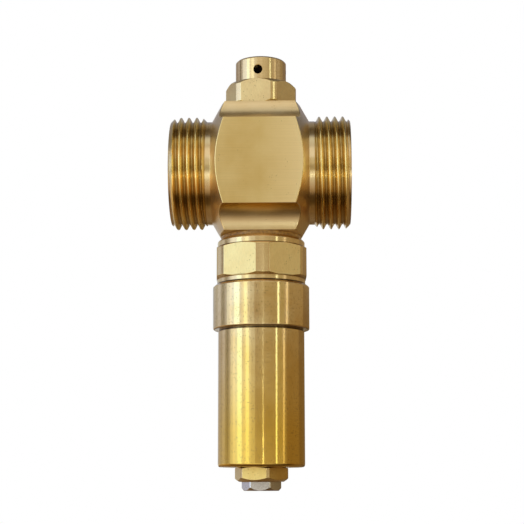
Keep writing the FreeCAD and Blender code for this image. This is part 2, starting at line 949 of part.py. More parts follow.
doc.recompute()
for item in doc.Objects:
    if "Invalid" in item.State or "Error" in item.State:
        raise RuntimeError("%s did not build" % item.Label)
for part in parts:
    shape = part.Shape
    if shape.isNull() or not shape.isValid() or not shape.Solids:
        raise RuntimeError("%s has no valid solid" % part.Label)
    shape.exportStep("parts/%s.step" % part.Label)
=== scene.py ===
import math

import bmesh
import bpy
import numpy as np
from mathutils import Matrix, Vector


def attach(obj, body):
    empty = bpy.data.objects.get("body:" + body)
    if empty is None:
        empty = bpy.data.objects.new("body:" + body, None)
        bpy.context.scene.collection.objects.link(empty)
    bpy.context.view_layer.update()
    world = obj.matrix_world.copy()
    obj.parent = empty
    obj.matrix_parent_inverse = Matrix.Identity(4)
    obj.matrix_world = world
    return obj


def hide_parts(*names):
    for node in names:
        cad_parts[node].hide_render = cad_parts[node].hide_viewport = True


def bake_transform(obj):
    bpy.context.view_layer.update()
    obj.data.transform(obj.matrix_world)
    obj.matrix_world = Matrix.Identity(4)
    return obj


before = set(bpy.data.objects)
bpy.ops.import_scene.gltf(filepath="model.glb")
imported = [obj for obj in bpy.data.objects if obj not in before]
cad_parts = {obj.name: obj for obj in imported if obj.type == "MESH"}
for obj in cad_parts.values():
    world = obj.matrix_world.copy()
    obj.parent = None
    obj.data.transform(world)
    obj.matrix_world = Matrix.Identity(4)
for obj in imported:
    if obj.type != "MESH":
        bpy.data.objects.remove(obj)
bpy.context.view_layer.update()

MM = 0.001
TAU = 2 * math.pi

# Shader nodes


def add(tree, kind, inputs=None, **settings):
    """A node with its settings, and its inputs either set or linked."""
    node = tree.nodes.new(kind)
    for key, value in settings.items():
        setattr(node, key, value)
    for key, value in (inputs or {}).items():
        if isinstance(value, bpy.types.NodeSocket):
            tree.links.new(value, node.inputs[key])
        else:
            node.inputs[key].default_value = value
    return node


def math_node(tree, operation, a, b=0.0, clamp=False):
    """The result of one sum on two sockets or numbers."""
    node = add(tree, "ShaderNodeMath", {0: a, 1: b}, operation=operation, use_clamp=clamp)
    return node.outputs[0]


def ramp(tree, value, stops):
    """Map a value through colour stops, each (position, grey or colour)."""
    node = add(tree, "ShaderNodeValToRGB", {"Fac": value})
    elements = node.color_ramp.elements
    while len(elements) < len(stops):
        elements.new(0.5)
    for element, (position, tone) in zip(elements, stops):
        element.position = position
        rgb = tone if isinstance(tone, tuple) else (tone, tone, tone)
        element.color = (*rgb, 1)
    return node.outputs["Color"]


def noise(tree, vector, scale, detail=4.0, rough=0.6):
    """Grey noise over a vector, in cycles per metre."""
    inputs = {"Vector": vector, "Scale": scale, "Detail": detail, "Roughness": rough}
    return add(tree, "ShaderNodeTexNoise", inputs).outputs["Fac"]


def stretched(tree, vector, factors):
    """The same coordinates, each axis scaled by its own factor."""
    node = add(tree, "ShaderNodeVectorMath", {0: vector, 1: factors}, operation="MULTIPLY")
    return node.outputs[0]


def mixed(tree, blend, factor, first, second):
    """Two colours mixed or multiplied."""
    node = add(tree, "ShaderNodeMix", data_type="RGBA", blend_type=blend, clamp_factor=True)
    for index, value in ((0, factor), (6, first), (7, second)):
        if isinstance(value, bpy.types.NodeSocket):
            tree.links.new(value, node.inputs[index])
        elif index == 0:
            node.inputs[0].default_value = value
        else:
            node.inputs[index].default_value = (*value, 1)
    return node.outputs[2]


def remap(tree, value, start, end, low=0.0, high=1.0):
    """A value carried from one range over to another and kept inside it."""
    span = {"Value": value, "From Min": start, "From Max": end, "To Min": low, "To Max": high}
    return add(tree, "ShaderNodeMapRange", span).outputs[0]


def place_of(tree):
    """The place in the object, in metres."""
    return add(tree, "ShaderNodeTexCoord").outputs["Object"]


def parts_of(tree, vector):
    """The three sockets of a vector."""
    return add(tree, "ShaderNodeSeparateXYZ", {0: vector}).outputs


def plain_material(name):
    """A new material with its node tree and its shader."""
    material = bpy.data.materials.new(name)
    material.use_nodes = True
    return material, material.node_tree, material.node_tree.nodes["Principled BSDF"]


def turning_lines(tree, vector, axis, pitch):
    """Fine rings left by turning about an axis through the origin, also on end faces."""
    parts = parts_of(tree, vector)
    across = [parts[i] for i in range(3) if i != "XYZ".index(axis)]
    squares = [math_node(tree, "MULTIPLY", part, part) for part in across]
    radius = math_node(tree, "SQRT", math_node(tree, "ADD", *squares))
    travel = math_node(tree, "ADD", parts["XYZ".index(axis)], radius)
    line = add(tree, "ShaderNodeCombineXYZ", {0: travel, 1: math_node(tree, "MULTIPLY", radius, 0.3)})
    return noise(tree, line.outputs[0], 1 / (pitch * MM), 3.0, 0.7)


# Noise of the metals in cycles per metre: drift of tone, fine grain, pits, and where the pits gather. The
# rings of turned work are spaced in millimetres.
DRIFT, FINE, PIT_CELLS, PIT_GROUPS = 90.0, 1400.0, 1500.0, 260.0
RING_PITCH = 0.22
GLOSS_SPREAD = 0.05
# Colours of painted shade: a dark tone painted into joints between parts, and into the roots of threads.
JOINT_SHADE, ROOT_SHADE = (0.07, 0.04, 0.015), (0.22, 0.11, 0.028)


def metal(
    name,
    colour,
    deep,
    roughness,
    grain,
    axis=None,
    anisotropic=0.0,
    rotation=0.0,
    pits=0.0,
    bump=0.25,
    fade=None,
    joint_shade=(),
    root_shade=None,
):
    """Machined metal: base colour drifting to a deeper tone, grain lines, pits, and gloss that varies.

    grain is the axis of turning, or the noise's cycles per metre along X, Y and Z for a milled face. fade is
    (axis number, start, end, colour at the start). joint_shade lists joints as (level, half-width) where
    shade is painted in as a dark tone. root_shade is the radius round the port axis of a thread's crests,
    left unshaded, and of its roots, where the painted shade is darkest.
    """
    material, tree, shader = plain_material(name)
    spot = place_of(tree)
    if isinstance(grain, str):
        lines = turning_lines(tree, spot, grain, RING_PITCH)
    else:
        lines = noise(tree, stretched(tree, spot, grain), 1.0, 5.0, 0.65)
    cloud = noise(tree, spot, DRIFT, 5.0, 0.6)
    fine = noise(tree, spot, FINE, 3.0, 0.6)
    tone = ramp(tree, cloud, [(0.32, deep), (0.62, colour)])
    if fade:
        way, start, end, far = fade
        share = remap(tree, parts_of(tree, spot)[way], start * MM, end * MM)
        tone = mixed(tree, "MIX", share, far, tone)
    shade = ramp(tree, lines, [(0.3, 0.90), (0.7, 1.06)])
    tone = mixed(tree, "MULTIPLY", 0.8, tone, shade)
    painted_shade = None
    patchy = math_node(tree, "ADD", math_node(tree, "MULTIPLY", fine, 0.5), 0.62)
    # Painted shade: each joint is darkened over its half-width, where shade falls between parts.
    for level, width in joint_shade:
        away = math_node(tree, "SUBTRACT", parts_of(tree, spot)[2], level * MM)
        away = math_node(tree, "ABSOLUTE", away)
        share = remap(tree, away, 0.3 * width * MM, width * MM, 1.1, 0.0)
        painted_shade = share if painted_shade is None else math_node(tree, "MAXIMUM", painted_shade, share)
    # Painted shade: the thread darkens from its crests down into its roots, where shade falls.
    if root_shade:
        y, z = parts_of(tree, spot)[1:3]
        squares = [math_node(tree, "MULTIPLY", part, part) for part in (y, z)]
        radius = math_node(tree, "SQRT", math_node(tree, "ADD", *squares))
        crest, root = root_shade
        painted_shade = remap(tree, radius, root * MM, crest * MM, 0.66, 0.0)
    # The painted shade, made patchy, is mixed into the colour.
    if painted_shade is not None:
        painted_shade = math_node(tree, "MULTIPLY", painted_shade, patchy, True)
        tone = mixed(tree, "MIX", painted_shade, tone, ROOT_SHADE if root_shade else JOINT_SHADE)
    parts = [math_node(tree, "MULTIPLY", lines, 0.8), math_node(tree, "MULTIPLY", fine, 0.2)]
    height = math_node(tree, "ADD", *parts)
    if pits:
        cells = {"Vector": spot, "Scale": PIT_CELLS, "Randomness": 1.0}
        near = add(tree, "ShaderNodeTexVoronoi", cells, feature="F1").outputs["Distance"]
        chance = noise(tree, spot, PIT_GROUPS, 2.0, 0.5)
        seat = math_node(tree, "LESS_THAN", chance, 0.34 + 0.12 * pits)
        hole = math_node(tree, "LESS_THAN", near, 0.16 + 0.03 * pits)
        pit = math_node(tree, "MULTIPLY", seat, hole)
        dark = tuple(0.45 * c for c in deep)
        tone = mixed(tree, "MIX", math_node(tree, "MULTIPLY", pit, 0.7), tone, dark)
        height = math_node(tree, "SUBTRACT", height, pit)
    tree.links.new(tone, shader.inputs["Base Color"])
    parts = [math_node(tree, "MULTIPLY", cloud, 1.4), math_node(tree, "MULTIPLY", lines, 0.6)]
    gloss = math_node(tree, "ADD", *parts)
    gloss = remap(tree, gloss, 0.6, 1.4, roughness - GLOSS_SPREAD, roughness + GLOSS_SPREAD)
    tree.links.new(gloss, shader.inputs["Roughness"])
    shader.inputs["Metallic"].default_value = 1.0
    if axis:
        shader.inputs["Anisotropic"].default_value = anisotropic
        shader.inputs["Anisotropic Rotation"].default_value = rotation
        along = add(tree, "ShaderNodeTangent", direction_type="RADIAL", axis=axis).outputs[0]
        tree.links.new(along, shader.inputs["Tangent"])
    inputs = {"Strength": bump, "Distance": 0.02 * MM, "Height": height}
    tree.links.new(add(tree, "ShaderNodeBump", inputs).outputs[0], shader.inputs["Normal"])
    return material


def soft(name, colour, deep, roughness, scale, bump):
    """Rubber, fibre or wax: mottled colour, fine grain and soft gloss."""
    material, tree, shader = plain_material(name)
    spot = place_of(tree)
    cloud = noise(tree, spot, scale, 5.0, 0.65)
    fine = noise(tree, spot, scale * 8, 3.0, 0.6)
    tree.links.new(ramp(tree, cloud, [(0.35, deep), (0.65, colour)]), shader.inputs["Base Color"])
    gloss = remap(tree, fine, 0.3, 0.7, roughness - 0.1, roughness + 0.1)
    tree.links.new(gloss, shader.inputs["Roughness"])
    inputs = {"Strength": bump, "Distance": 0.03 * MM, "Height": fine}
    tree.links.new(add(tree, "ShaderNodeBump", inputs).outputs[0], shader.inputs["Normal"])
    return material


STRAW = (0.83, 0.60, 0.26)
PALE, PALE_DEEP = (0.84, 0.65, 0.37), (0.78, 0.57, 0.29)
GOLD, GOLD_DEEP = (0.85, 0.60, 0.24), (0.74, 0.48, 0.15)
FACE_GRAIN, COVE_GRAIN, HEX_GRAIN = (60, 9000, 9000), (60, 6000, 6000), (3000, 3000, 900)
# Anisotropic rotation of a quarter turn, which spreads the gloss of turned work across its rings.
ROUND = 0.25

milled = metal(
    "brass_milled",
    (0.79, 0.595, 0.265),
    (0.73, 0.52, 0.205),
    0.36,
    FACE_GRAIN,
    "X",
    0.75,
    pits=0.15,
    bump=0.3,
    fade=(0, 14, 0, (0.96, 0.76, 0.42)),
)
cove = metal("brass_cove", PALE, PALE_DEEP, 0.30, COVE_GRAIN, "X", 0.6, pits=0.2, bump=0.2)
# The lower coves' brass, with painted shade: dark orange along the edge where they meet the front face, gone
# further down.
cove_low_painted_shade = metal(
    "brass_cove_low_painted_shade",
    PALE,
    PALE_DEEP,
    0.30,
    COVE_GRAIN,
    "X",
    0.6,
    pits=0.2,
    bump=0.2,
    fade=(2, -12.8, -14.4, (0.66, 0.36, 0.05)),
)
turned_port = metal("brass_turned_port", PALE, PALE_DEEP, 0.29, "X", "X", 0.9, ROUND, bump=0.2)
cone_metal = metal("brass_cone", PALE, PALE_DEEP, 0.30, "X", "X", 0.3, ROUND, bump=0.2)
thread_metal = metal(
    "brass_thread",
    (0.99, 0.78, 0.35),
    (0.92, 0.65, 0.24),
    0.2,
    "X",
    "X",
    0.3,
    ROUND,
    bump=0.06,
    # painted shade darkens the thread's roots
    root_shade=(16.0, 15.3),
)
bore_metal = metal("brass_bore", STRAW, GOLD_DEEP, 0.34, "X", "X", 0.6, ROUND, bump=0.3)
hex_flat = metal(
    "brass_hex_flat", (0.88, 0.71, 0.38), PALE_DEEP, 0.44, HEX_GRAIN, "Z", 0.3, ROUND, pits=1.0, bump=0.5
)
bush_flat = metal(
    "brass_bush_flat",
    (0.82, 0.61, 0.25),
    (0.70, 0.46, 0.14),
    0.32,
    HEX_GRAIN,
    "Z",
    0.3,
    ROUND,
    pits=1.0,
    bump=0.4,
)
turned = metal("brass_turned", PALE, PALE_DEEP, 0.20, "Z", "Z", 0.95, ROUND, pits=0.6, bump=0.16)
low_flat = metal(
    "brass_low_flat",
    (0.88, 0.71, 0.36),
    (0.78, 0.57, 0.26),
    0.44,
    HEX_GRAIN,
    "Z",
    0.3,
    ROUND,
    pits=1.2,
    bump=0.6,
    # painted shade under the hexagon and where it meets the ring
    joint_shade=[(-31.9, 0.2), (-22.6, 0.15)],
)
low_turned = metal(
    "brass_low_turned",
    PALE,
    PALE_DEEP,
    0.22,
    "Z",
    "Z",
    0.95,
    ROUND,
    pits=0.3,
    bump=0.16,
    # painted shade where the neck meets the collar and where the ring meets the hexagon
    joint_shade=[(-33.3, 0.2), (-22.5, 0.15)],
)
sleeve_metal = metal(
    "brass_sleeve",
    PALE,
    (0.78, 0.54, 0.24),
    0.17,
    "Z",
    "Z",
    0.95,
    ROUND,
    pits=2.1,
    bump=0.14,
    fade=(2, -76, -44, (0.85, 0.56, 0.13)),
    # painted shade at the collar's top and in the undercut under the collar
    joint_shade=[(-33.5, 0.3), (-46.9, 0.45)],
)
edge_metal = metal("brass_edge", (0.92, 0.72, 0.36), STRAW, 0.22, (900, 900, 900), bump=0.1)
inside_metal = metal("brass_inside", GOLD, GOLD_DEEP, 0.32, "Z", "Z", 0.6, ROUND, bump=0.3)
# Painted shade: the inside of the vent cap, painted near black.
bore_painted_shade = metal("brass_bore_painted_shade", (0.09, 0.06, 0.03), (0.05, 0.03, 0.015), 0.6, "Z")
steel = metal(
    "steel_screw", (0.68, 0.65, 0.67), (0.48, 0.45, 0.45), 0.22, (2600, 2600, 2600), pits=0.6, bump=0.2
)
steel_plate = metal(
    "steel_plate", (0.62, 0.61, 0.60), (0.50, 0.49, 0.48), 0.3, "Z", "Z", 0.6, ROUND, pits=0.1, bump=0.2
)
spring_wire = metal("spring_wire", (0.60, 0.60, 0.61), (0.42, 0.42, 0.43), 0.28, (1800, 1800, 1800))
copper = metal("copper_cup", (0.86, 0.48, 0.31), (0.66, 0.31, 0.18), 0.3, "Z", "Z", 0.6, ROUND, bump=0.2)
rubber = soft("rubber_black", (0.035, 0.035, 0.036), (0.018, 0.018, 0.019), 0.55, 900.0, 0.35)
fibre = soft("fibre_gasket", (0.60, 0.31, 0.05), (0.30, 0.13, 0.02), 0.36, 1200.0, 0.5)
wax_fill = soft("wax_fill", (0.80, 0.73, 0.52), (0.66, 0.57, 0.36), 0.45, 500.0, 0.3)

# Turned and milled shapes


# Radius that stands for the axis itself, and how far the points that hold a rounding lie past its ends.
AXIS = 0.001
HOLD = 1.12


def rounded(paths, radii, steps=3):
    """Round the corners of many paths at once and say which edge each new point leads into.

    paths is (angles, corners, 2) in millimetres; radii has one radius a corner, 0 for a plain point. An edge
    is named by the number of the corner that it starts at, and a rounding by -1 less its corner's number.
    """
    count = paths.shape[1]
    points = []
    owner = []
    for i in range(count):
        here = paths[:, i]
        if radii[i] == 0:
            points.append(here)
            owner.append(i)
            continue
        back = paths[:, i - 1] - here
        ahead = paths[:, (i + 1) % count] - here
        back_length = np.linalg.norm(back, axis=1, keepdims=True)
        ahead_length = np.linalg.norm(ahead, axis=1, keepdims=True)
        cut = np.minimum(radii[i], 0.42 * np.minimum(back_length, ahead_length))
        back = back / back_length
        ahead = ahead / ahead_length
        points.append(here + back * cut * HOLD)
        owner.append(-1 - i)
        for step in range(steps + 1):
            u = step / steps
            start = here + back * cut
            end = here + ahead * cut
            points.append((1 - u) ** 2 * start + 2 * u * (1 - u) * here + u * u * end)
            owner.append(-1 - i)
        points.append(here + ahead * cut * HOLD)
        owner.append(i)
    return np.stack(points, axis=1), owner


def skin(name, angles, paths, axis, slots, material_of, closed=True):
    """A surface swept round an axis: one path of (radius, travel) points for each angle."""
    turns, count = paths.shape[:2]
    radius, travel = paths[..., 0], paths[..., 1]
    around = angles[:, None]
    if axis == "Z":
        where = np.stack([radius * np.cos(around), radius * np.sin(around), travel], axis=2)
    else:
        where = np.stack([travel, radius * np.cos(around), radius * np.sin(around)], axis=2)
    vertices = (where.reshape(-1, 3) * MM).tolist()
    faces = []
    kinds = []
    last = count if closed else count - 1
    for i in range(turns):
        j = (i + 1) % turns
        for k in range(last):
            n = (k + 1) % count
            faces.append((i * count + k, j * count + k, j * count + n, i * count + n))
            kinds.append(material_of(k, i))
    return mesh_object(name, vertices, faces, kinds, slots)


def mesh_object(name, vertices, faces, kinds, slots):
    """A mesh object with its material slots, welded, with outward normals and smooth shading."""
    mesh = bpy.data.meshes.new(name)
    mesh.from_pydata(vertices, [], faces)
    for material in slots:
        mesh.materials.append(material)
    mesh.polygons.foreach_set("material_index", kinds)
    shape = bmesh.new()
    shape.from_mesh(mesh)
    bmesh.ops.remove_doubles(shape, verts=shape.verts, dist=1e-7)
    bmesh.ops.dissolve_degenerate(shape, edges=shape.edges, dist=1e-8)
    bmesh.ops.recalc_face_normals(shape, faces=shape.faces)
    shape.to_mesh(mesh)
    shape.free()
    piece = bpy.data.objects.new(name, mesh)
    bpy.context.scene.collection.objects.link(piece)
    smooth(mesh)
    return piece


def smooth(mesh, angle=40):
    """Smooth shading, with edges above an angle kept sharp."""
    mesh.polygons.foreach_set("use_smooth", [True] * len(mesh.polygons))
    mesh.set_sharp_from_angle(angle=math.radians(angle))
    mesh.update()


def soft_min(a, b, width):
    """The smaller of two lengths, with the crossing rounded over a width."""
    return -width * np.log(np.exp(-(a - b) / width) + 1) + b


def drill(piece, cutters):
    """Cut holes in a piece with closed cutter meshes, which are then thrown away."""
    for cutter in cutters:
        tool = piece.modifiers.new("hole", "BOOLEAN")
        tool.operation = "DIFFERENCE"
        tool.solver = "EXACT"
        tool.object = cutter
    bpy.context.view_layer.update()
    graph = bpy.context.evaluated_depsgraph_get()
    mesh = bpy.data.meshes.new_from_object(piece.evaluated_get(graph), depsgraph=graph)
    piece.modifiers.clear()
    old = piece.data
    piece.data = mesh
    bpy.data.meshes.remove(old)
    for cutter in cutters:
        bpy.data.meshes.remove(cutter.data)
    smooth(piece.data)


def plug_cutter(points, sides, material, place):
    """A turned cutter: (radius, travel) points along +Z, then put in place by a matrix."""
    angles = np.linspace(0, TAU, sides, endpoint=False)
    paths = np.repeat(np.array([points], float), sides, axis=0)
    cutter = skin("cutter", angles, paths, "Z", [material], lambda k, i: 0, closed=False)
    cutter.data.transform(place)
    return cutter


def settle(piece, node):
    """Let a finished piece stand for a node of the valve."""
    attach(piece, "valve")
    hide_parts(node)


def hexagon_angles(flats, corner, turn):
    """Angles that follow six flats and the turned strips between them, with the radius at each."""
    apothem = flats / 2
    half = math.acos(apothem / corner)
    strip = math.pi / 6 - half
    offsets = [half * t for t in np.linspace(0, 0.94, 9)]
    offsets += [half + step for step in (-0.008, -0.003, 0, 0.003, 0.008)]
    offsets += [half + strip * t for t in np.linspace(0.25, 1, 5)]
    offsets = sorted(set(round(o, 6) for o in offsets if o <= math.pi / 6 + 1e-9))
    sector = [-o for o in reversed(offsets[1:-1])] + offsets
    angles, radii, flat = [], [], []
    for side in range(6):
        normal = math.radians(turn - 90 + 60 * side)
        for offset in sector:
            angles.append(normal + offset)
            radii.append(float(soft_min(apothem / math.cos(offset), corner, 0.012)))
            flat.append(abs(offset) < half - 1e-6)
    order = np.argsort(np.mod(angles, TAU))
    return np.mod(np.array(angles), TAU)[order], np.array(radii)[order], np.array(flat)[order]


def hexagon_piece(name, flats, corner, turn, before, low, high, after, slots, bevel=0.12, inner=math.inf):
    """A turned piece with six milled flats.

    before and after are (radius, level, rounding) points of the closed profile on either side of the
    hexagon. low and high are the chamfers' lines, each ((radius, level), (radius, level)), from the inner
    end to the turned corner. slots are the materials of the turned faces, the flats and the edges. A fourth
    one covers the rest of the profile, from point number inner of after on.
    """
    angles, limit, flat = hexagon_angles(flats, corner, turn)

    def on_line(line):
        (r0, z0), (r1, z1) = line
        share = (limit - r0) / (r1 - r0)
        return np.stack([limit, z0 + (z1 - z0) * share], axis=1)

    fixed = np.ones((len(angles), 1))
    columns = []
    radii = []
    for r, z, rounding in before:
        columns.append(np.concatenate([fixed * r, fixed * z], axis=1))
        radii.append(rounding)
    low_index = len(columns)
    columns.append(on_line(low))
    radii.append(bevel)
    columns.append(on_line(high))
    radii.append(bevel)
    for r, z, rounding in after:
        columns.append(np.concatenate([fixed * r, fixed * z], axis=1))
        radii.append(rounding)
    paths, owner = rounded(np.stack(columns, axis=1), radii)

    def kind(k, i):
        if owner[k] == low_index:
            return 1 if flat[i] else 0
        if owner[k] in (-1 - low_index, -2 - low_index):
            return 2
        return 3 if owner[k] >= low_index + 2 + inner else 0

    return skin(name, angles, paths, "Z", slots, kind)


def turned_piece(name, profile, material, sides):
    """A round piece from a closed profile of (radius, level, rounding) points."""
    angles = np.linspace(0, TAU, sides, endpoint=False)
    outline = np.array([[(r, z) for r, z, _ in profile]], float)
    paths = rounded(outline, [rounding for _, _, rounding in profile])[0]
    paths = np.repeat(paths, sides, axis=0)
    return skin(name, angles, paths, "Z", [material], lambda k, i: 0)


# Block with ports and threads

HALF_DEPTH, HALF_HEIGHT, COVE = 18.0, 19.0, 6.5
CONE_START, CONE_SLOPE = 14.2, math.tan(math.radians(30))
NECK, CREST, PORT_HALF, THREAD_START = 15.25, 16.62, 26.25, 15.75
BORE_RADIUS, BORE_CHAMFER = 12.5, 0.6
CHAMBER_RADIUS, CHAMBER_HALF = 13.0, 12.7
BLOCK_EDGE, CONE_EDGE = 0.16, 0.12

# Thread of 55 degrees: pitch, depth, nose radius, flank's slope, and a crest's place in front on each side.
PITCH, DEPTH, NOSE = 2.309, 1.479, 0.317
FLANK = math.radians(62.5)
RIGHT_PHASE, LEFT_PHASE = 18.8, -19.43
THREAD_COLUMNS, THREAD_LEAD = 88, 0.8

# Material numbers of the block. On a face of the bar FLAT or COVED or COVED_LOW is chosen by its angle.
# COVED_LOW carries painted shade along the lower coves' front edge.
FLAT, COVED, TURNED, THREAD, BORE, EDGE, CONE, COVED_LOW = range(8)
BLOCK_SLOTS = [milled, cove, turned_port, thread_metal, bore_metal, edge_metal, cone_metal, cove_low_painted_shade]

# Bores for the cap and the cartridge, as (radius, level) outlines of what is cut away.
VENT_BORE = [(0, 2), (8.3, 2), (8.3, 17.8), (9.2, 17.8), (9.2, 30), (0, 30)]
DRAIN_BORE = [(0, -30), (10.58, -30), (10.58, -2), (0, -2)]


def section_radius(angle):
    """Distance from the port axis to the coved bar, in the direction (y, z) = (cos, sin)."""
    c, s = abs(math.cos(angle)), abs(math.sin(angle))
    box = min(HALF_DEPTH / max(c, 1e-9), HALF_HEIGHT / max(s, 1e-9))
    middle = HALF_DEPTH * c + HALF_HEIGHT * s
    gap = HALF_DEPTH**2 + HALF_HEIGHT**2 - middle**2
    if gap < COVE**2:
        return min(box, middle - math.sqrt(COVE**2 - gap))
    return box


def thread_drop(distance):
    """How far a thread's surface lies under its crest, at a distance from the crest line."""
    side = NOSE * math.sin(FLANK)
    top = NOSE * (1 - math.cos(FLANK))
    far = PITCH / 2 - distance
    crest = NOSE - np.sqrt(np.maximum(NOSE**2 - np.minimum(distance, side) ** 2, 0))
    root = DEPTH - (NOSE - np.sqrt(np.maximum(NOSE**2 - np.minimum(far, side) ** 2, 0)))
    flank = top + (distance - side) * math.tan(FLANK)
    return np.where(distance < side, crest, np.where(far < side, root, flank))


def thread_column(travel, angles, phase):
    """Radii of a right-hand thread at one place along the port, for all angles."""
    envelope = max(NECK + min(PORT_HALF - abs(travel), abs(travel) - THREAD_START), NECK - 0.02)
    turns = (travel - phase) / PITCH - angles / TAU
    distance = np.abs(turns - np.round(turns)) * PITCH
    return np.minimum(CREST - thread_drop(distance), envelope)


def block_angles():
    """Angles round the port axis that follow the block's edges."""
    flat_end = math.atan2(HALF_HEIGHT - COVE, HALF_DEPTH)
    top_end = math.atan2(HALF_HEIGHT, HALF_DEPTH - COVE)
    near = (-0.012, -0.005, 0, 0.005, 0.012)
    marks = [flat_end * t for t in np.linspace(0, 0.97, 17)]
    marks += [flat_end + step for step in near]
    marks += [flat_end + (top_end - flat_end) * t for t in np.linspace(0.06, 0.94, 22)]
    marks += [top_end + step for step in near]
    marks += [top_end + (math.pi / 2 - top_end) * t for t in np.linspace(0.03, 1, 14)]
    quarter = sorted(set(round(m, 6) for m in marks))
    whole = set()
    for mark in quarter:
        for angle in (mark, math.pi - mark, math.pi + mark, TAU - mark):
            whole.add(round(angle % TAU, 6))
    return np.array(sorted(whole)), flat_end, top_end


def valve_block():
    """The one-piece body: coved block, cones, necks and threaded ports, with its waterway."""
    angles, flat_end, top_end = block_angles()
    limit = np.array([section_radius(a) for a in angles])
    edge_x = CONE_START - (limit - NECK) * CONE_SLOPE
    one = np.ones_like(angles)

    def side_path(sign, phase):
        """Columns from the middle of the bore out to the middle of the block, on one side."""
        columns, radii, kinds = [], [], []

        def column(radius, travel, rounding, kind):
            columns.append(np.stack([radius * one, travel * one], axis=1))
            radii.append(rounding)
            kinds.append(kind)

        column(CHAMBER_RADIUS, 0.02, 0, BORE)
        column(CHAMBER_RADIUS, CHAMBER_HALF, 0.1, BORE)
        column(BORE_RADIUS, CHAMBER_HALF + 0.5, 0.1, BORE)
        column(BORE_RADIUS, PORT_HALF - BORE_CHAMFER, 0.08, BORE)
        column(BORE_RADIUS + BORE_CHAMFER, PORT_HALF, 0.08, TURNED)
        column(NECK, PORT_HALF, 0, THREAD)
        for travel in np.linspace(PORT_HALF - 0.06, THREAD_START + 0.05, THREAD_COLUMNS):
            kind = THREAD if travel < PORT_HALF - THREAD_LEAD else TURNED
            column(thread_column(sign * travel, angles, phase), travel, 0, kind)
        column(NECK, THREAD_START, 0, TURNED)
        column(NECK, CONE_START, CONE_EDGE, CONE)
        column(limit, edge_x, BLOCK_EDGE, COVED)
        for share in (0.8, 0.5, 0.2):
            column(limit, edge_x * share, 0, COVED)
        return np.stack(columns, axis=1), radii, kinds

    right, right_radii, right_kinds = side_path(1, RIGHT_PHASE)
    left, left_radii, left_kinds = side_path(-1, LEFT_PHASE)
    left = left[:, ::-1].copy()
    left[..., 1] *= -1
    paths = np.concatenate([right, left], axis=1)
    radii = right_radii + left_radii[::-1]
    kinds = right_kinds + left_kinds[::-1][1:] + [BORE]
    rounded_paths, owner = rounded(paths, radii)
    quarter = np.arctan2(np.abs(np.sin(angles)), np.abs(np.cos(angles)))
    middles = (quarter + np.roll(quarter, -1)) / 2
    faces = []
    for angle, middle in zip(angles, middles):
        coved = COVED_LOW if angle >= math.pi else COVED
        faces.append(coved if flat_end <= middle <= top_end else FLAT)

    def kind(k, i):
        if owner[k] < 0:
            return EDGE if radii[-1 - owner[k]] == BLOCK_EDGE else TURNED
        found = kinds[owner[k]]
        return faces[i] if found == COVED else found

    body = skin("valve_block", angles, rounded_paths, "X", BLOCK_SLOTS, kind)
    vent = plug_cutter(VENT_BORE, 96, inside_metal, Matrix())
    drain = plug_cutter(DRAIN_BORE, 128, inside_metal, Matrix())
    drill(body, [vent, drain])
    return body


settle(valve_block(), "valve_body")

# Vent cap

TOP = HALF_HEIGHT
VENT_FLATS, VENT_CORNER, VENT_SHOULDER, VENT_CHAMFER = 19.0, 10.47, 6.45, 1.0
CAP_RADIUS, CAP_TOP, CAP_EDGE = 7.5, 33.9, 0.5
AIR_LEVEL, AIR_RADIUS, AIR_SINK, SINK_START = 29.85, 1.3, 0.32, 7.32
AIR_TURN = -5.4
VENT_TURN = AIR_TURN - 2.5


def vent_head():
    """Hexagon and round cap of the air vent, with four countersunk air holes."""
    rim = VENT_CORNER - VENT_CHAMFER
    shoulder = TOP + VENT_SHOULDER
    before = [
        (6.6, 13.4, 0),
        (7.7, 13.4, 0),
        (8.2, 13.9, 0),
        (8.2, 17.5, 0),
        (7.5, 17.8, 0),
        (7.5, TOP, 0),
        (rim, TOP, 0),
    ]
    low = ((rim, TOP), (VENT_CORNER, TOP + VENT_CHAMFER))
    high = ((rim, shoulder + VENT_CHAMFER), (VENT_CORNER, shoulder))
    cap_side = [
        (rim, shoulder + VENT_CHAMFER, 0),
        (CAP_RADIUS, shoulder + VENT_CHAMFER, 0),
        (CAP_RADIUS, CAP_TOP - CAP_EDGE, 0.14),
        (CAP_RADIUS - CAP_EDGE, CAP_TOP, 0.14),
    ]
    inside = [
        (AXIS, CAP_TOP, 0),
        (AXIS, 32.2, 0),
        (5.0, 32.2, 0),
        (5.0, 25.5, 0),
        (3.0, 25.5, 0),
        (3.0, 22.6, 0),
        (3.8, 22.6, 0),
        (3.8, 23.0, 0),
        (6.2, 23.0, 0),
        (6.2, 14.6, 0),
        (6.6, 14.6, 0),
    ]
    # The fourth slot is the cap's inside, painted near black as painted shade.
    slots = [turned, hex_flat, edge_metal, bore_painted_shade]
    shape = (VENT_FLATS, VENT_CORNER, VENT_TURN, before, low, high, cap_side + inside)
    piece = hexagon_piece("vent_head", *shape, slots, 0.12, len(cap_side))
    wide = AIR_RADIUS + AIR_SINK
    sink = [(AIR_RADIUS, SINK_START), (wide, SINK_START + AIR_SINK), (wide, 9)]
    hole = [(0, 4), (AIR_RADIUS, 4), *sink, (0, 9)]
    lay = Matrix.Rotation(math.pi / 2, 4, "Y")
    cutters = []
    for quarter in range(4):
        spin = Matrix.Rotation(math.radians(AIR_TURN - 90 + 90 * quarter), 4, "Z")
        place = Matrix.Translation((0, 0, AIR_LEVEL * MM)) @ spin @ lay
        cutters.append(plug_cutter(hole, 40, edge_metal, place))
    drill(piece, cutters)
    return piece


settle(vent_head(), "vent_cap")

# Drain cartridge, gasket and sleeve

GASKET_THICK = 1.2
RING = -HALF_HEIGHT - GASKET_THICK
RING_RADIUS, RING_THICK = 12.75, 2.3
HEX_FLATS, HEX_CORNER, HEX_CHAMFER, HEX_TURN = 26.0, 14.0, 0.65, 33.2
HEX_BOTTOM = RING - 11.9
LOW_NECK, NECK_BOTTOM = 12.85, RING - 13.1
SEAT = RING - 15.8


